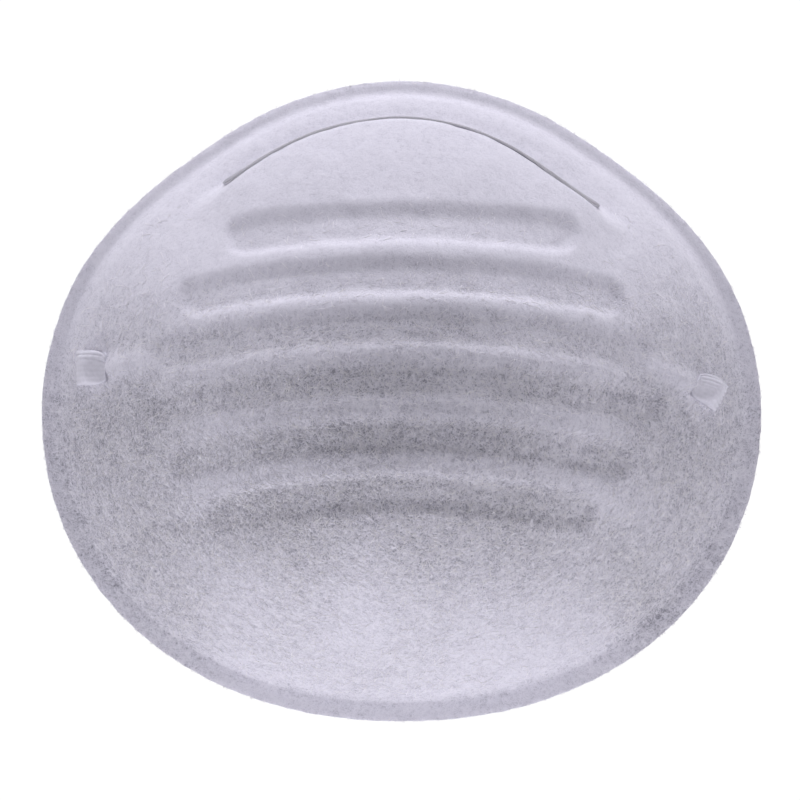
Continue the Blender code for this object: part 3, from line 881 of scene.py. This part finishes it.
def makeStrapEnd(name, node, place, slant):
    side = 1 if place[0] > 0 else -1
    along, across, outwards = slitFrame(place, slant)
    if across.z < 0:
        across = -across
    outer, faces = [], []
    padSteps = 14
    for step in range(padSteps, -1, -1):           # welded end, from its tip back to the slit
        ahead = strapEnds["padLength"] * step / padSteps
        x = place[0] - side * ahead * math.cos(slant)
        z = place[1] + ahead * math.sin(slant)
        outer.append(cupPoint(x, z, -strapEnds["thickness"] * 0.05))
        faces.append(domeNormal(x, z))
    hinge = hingeSpot(side)
    inWall, inside = (cupPoint(*place, depth) for depth in strapEnds["wallDepths"])
    inner = smoothRoute([outer[-1], inWall - along * 0.1 * mm, inside, inside.lerp(hinge, 0.55),
                         hinge + Vector((side * strapEnds["overlap"], 0, 0))], 6)
    route = outer + inner[1:]
    square = Vector((0, across.y, across.z)).normalized()
    sideways, faceOut = [], []
    for index in range(len(route)):
        before, after = route[max(index - 1, 0)], route[min(index + 1, len(route) - 1)]
        heading = (after - before).normalized()
        share = smoothStep(len(outer), len(route) - 1, index)
        width = across.lerp(square, share).normalized()
        sideways.append(width * strapEnds["width"] / 2)
        face = width.cross(heading).normalized()
        lead = faces[index] if index < len(outer) - 1 else faceOut[-1]
        if face.dot(lead) < 0:
            face = -face
        faceOut.append(face)
    length = sum((b - a).length for a, b in zip(route, route[1:]))
    padShare = sum((b - a).length for a, b in zip(outer, outer[1:])) / length

    def puffed(travel, across01):
        onPad = min(travel / padShare, 1.0)
        tip = smoothStep(-0.1, 0.65, onPad)
        corner = math.sqrt(max(1 - (1 - min(onPad / 0.4, 1)) ** 2, 0.0))
        heel = 1 - smoothStep(0.4, 1.1, travel / padShare)
        dome = math.sqrt(max(1 - across01 * across01 * 0.98, 0.0))
        raised = (strapEnds["padHeight"] - strapEnds["thickness"] / 2) * dome * tip * heel
        sunk = strapEnds["sunkTip"] * (1 - tip) + strapEnds["sunkSides"] * (1 - dome) * heel
        ribbed = 0.1 + 0.9 * smoothStep(-0.1, 0.6, across01) if onPad < 1 else 1.0
        return raised - sunk, 0.7 + 0.3 * corner, ribbed

    piece = bandMesh(name, route, sideways, faceOut, strapEnds["thickness"], ribbedElastic, puffed,
                     strapEnds["widthSteps"], strapEnds["ribs"], strapEnds["ribHeight"])
    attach(piece, "shell")
    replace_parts(piece, node)


makeStrapEnd("leftStrapWeld", "left_strap_end", strapEnds["leftSlit"], strapEnds["leftSlant"])
makeStrapEnd("rightStrapWeld", "right_strap_end", strapEnds["rightSlit"], strapEnds["rightSlant"])
print("strap ends welded")

loop = {
    "power": 2.25,
    "steps": 110,
    "twist": 0.16,                 # share of a half loop over which the band turns
    "turn": (0.5 * mm, 0.25 * mm),                       # first bend: inwards and down
    "bendEnd": (2.0 * mm, 6.0 * mm),                     # the loop is stiff from here on
}


def makeLoopHalf(name, side):
    low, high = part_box("head_strap")
    hinge = hingeSpot(side)
    middle = (hingeSpot(1) + hingeSpot(-1)) / 2
    drop = middle.z - (low.z + strapEnds["thickness"] / 2)
    route = []
    for step in range(loop["steps"] + 1):
        angle = math.pi / 2 * step / loop["steps"]
        reach = math.cos(angle) ** (2 / loop["power"]) if angle < math.pi / 2 - 1e-9 else 0.0
        fall = math.sin(angle) ** (2 / loop["power"])
        route.append(middle + (hinge - middle) * reach - Vector((0, 0, drop * fall)))
    lead = hinge + Vector((side * strapEnds["overlap"], 0, 0))
    turn = hinge + Vector((-side * loop["turn"][0], 0, -loop["turn"][1]))
    turnIn = smoothRoute([lead, turn, route[4], route[9]], 6)
    route = turnIn[:-1] + route[9:]
    sideways, faceOut = [], []
    for index in range(len(route)):
        before, after = route[max(index - 1, 0)], route[min(index + 1, len(route) - 1)]
        heading = (after - before).normalized()
        if index == len(route) - 1:
            heading = Vector((-side, 0, 0))
        inPlane = Vector((-heading.z, 0, heading.x)) * -side
        roll = math.pi / 2 * smoothStep(0, loop["twist"] * len(route), index)
        width = inPlane * math.cos(roll) + Vector((0, -1, 0)) * math.sin(roll)
        sideways.append(width * strapEnds["width"] / 2)
        faceOut.append(width.cross(heading).normalized() * side)

    def flat(travel, across01):
        return 0.0, 1.0, 1.0

    piece = bandMesh(name, route, sideways, faceOut, strapEnds["thickness"], ribbedElastic, flat,
                     strapEnds["widthSteps"], strapEnds["ribs"], strapEnds["ribHeight"])
    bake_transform(piece)
    return piece


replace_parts(makeLoopHalf("leftHeadStrap", -1), "head_strap")
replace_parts(makeLoopHalf("rightHeadStrap", 1), "head_strap")
print("head strap hung")


stage = {
    "floorDepth": 0.6,             # well below, as the mask hangs clear of it
    "floorSize": 3.0,
    "distance": 1.6,
    "viewWidth": 144.6 * mm,
    "aim": (-0.27 * mm, 0.2 * mm),
    "ambient": 0.06,
}
lamps = {                          # size, power, place
    "overhead": ((0.7, 0.4), 6.6, (0, 0.08, 0.75)),
    "underneath": ((0.8, 0.4), 1.4, (0, 0.06, -0.5)),
    "leftSide": ((0.5, 0.6), 4.4, (-0.72, -0.12, -0.42)),
    "rightSide": ((0.5, 0.6), 4.2, (0.72, -0.12, -0.42)),
    "front": ((0.9, 0.9), 5.7, (0, -1.4, 0.25)),
    "behind": ((0.9, 0.9), 4.5, (0, 1.3, 0.35)),
}


def makeStage():
    bm = bmesh.new()
    bmesh.ops.create_grid(bm, x_segments=1, y_segments=1, size=stage["floorSize"])
    bmesh.ops.translate(bm, verts=bm.verts, vec=(0, 0, -stage["floorDepth"]))
    material, tree, shader = newMaterial("paleFloor")
    shader.inputs["Base Color"].default_value = (0.3, 0.3, 0.31, 1)
    shader.inputs["Roughness"].default_value = 0.9
    shader.inputs["Emission Color"].default_value = (0.86, 0.86, 0.88, 1)
    path = addNode(tree, "ShaderNodeLightPath")
    joinNodes(tree, mathNode(tree, "MULTIPLY", path.outputs["Is Camera Ray"], 0.92),
              shader.inputs["Emission Strength"])
    floor = finishMesh("floor", bm, material, smooth=False)


def makeLight(name, size, power, place):
    light = bpy.data.lights.new(name, "AREA")
    light.shape = "RECTANGLE"
    light.size, light.size_y = size
    light.energy = power
    light.color = (0.985, 0.975, 1.0)
    lamp = bpy.data.objects.new(name, light)
    lamp.location = place
    lamp.rotation_euler = (-Vector(place)).to_track_quat("-Z", "Y").to_euler()
    lamp.visible_camera = False
    bpy.context.scene.collection.objects.link(lamp)


def makeWorld():
    world = bpy.data.worlds.new("studio")
    bpy.context.scene.world = world
    world.use_nodes = True
    tree = world.node_tree
    tree.nodes.clear()
    output = addNode(tree, "ShaderNodeOutputWorld")
    seen = addNode(tree, "ShaderNodeBackground")
    seen.inputs["Color"].default_value = (1, 1, 1, 1)
    seen.inputs["Strength"].default_value = 1.05
    lit = addNode(tree, "ShaderNodeBackground")
    lit.inputs["Color"].default_value = (0.9, 0.9, 1, 1)
    lit.inputs["Strength"].default_value = stage["ambient"]
    path = addNode(tree, "ShaderNodeLightPath")
    mix = addNode(tree, "ShaderNodeMixShader")
    joinNodes(tree, path.outputs["Is Camera Ray"], mix.inputs["Fac"])
    joinNodes(tree, lit.outputs[0], mix.inputs[1])
    joinNodes(tree, seen.outputs[0], mix.inputs[2])
    joinNodes(tree, mix.outputs[0], output.inputs["Surface"])


def makeCamera():
    camera = bpy.data.cameras.new("camera")
    camera.sensor_width = 36
    camera.lens = 36 * stage["distance"] / stage["viewWidth"]
    camera.clip_start = 0.01
    holder = bpy.data.objects.new("camera", camera)
    holder.location = (stage["aim"][0], -stage["distance"], stage["aim"][1])
    holder.rotation_euler = (math.pi / 2, 0, 0)
    bpy.context.scene.collection.objects.link(holder)
    bpy.context.scene.camera = holder


makeStage()
for lampName, lampLook in lamps.items():
    makeLight(lampName, *lampLook)
makeWorld()
makeCamera()
bpy.context.scene.view_settings.view_transform = "Standard"
print("stage set")
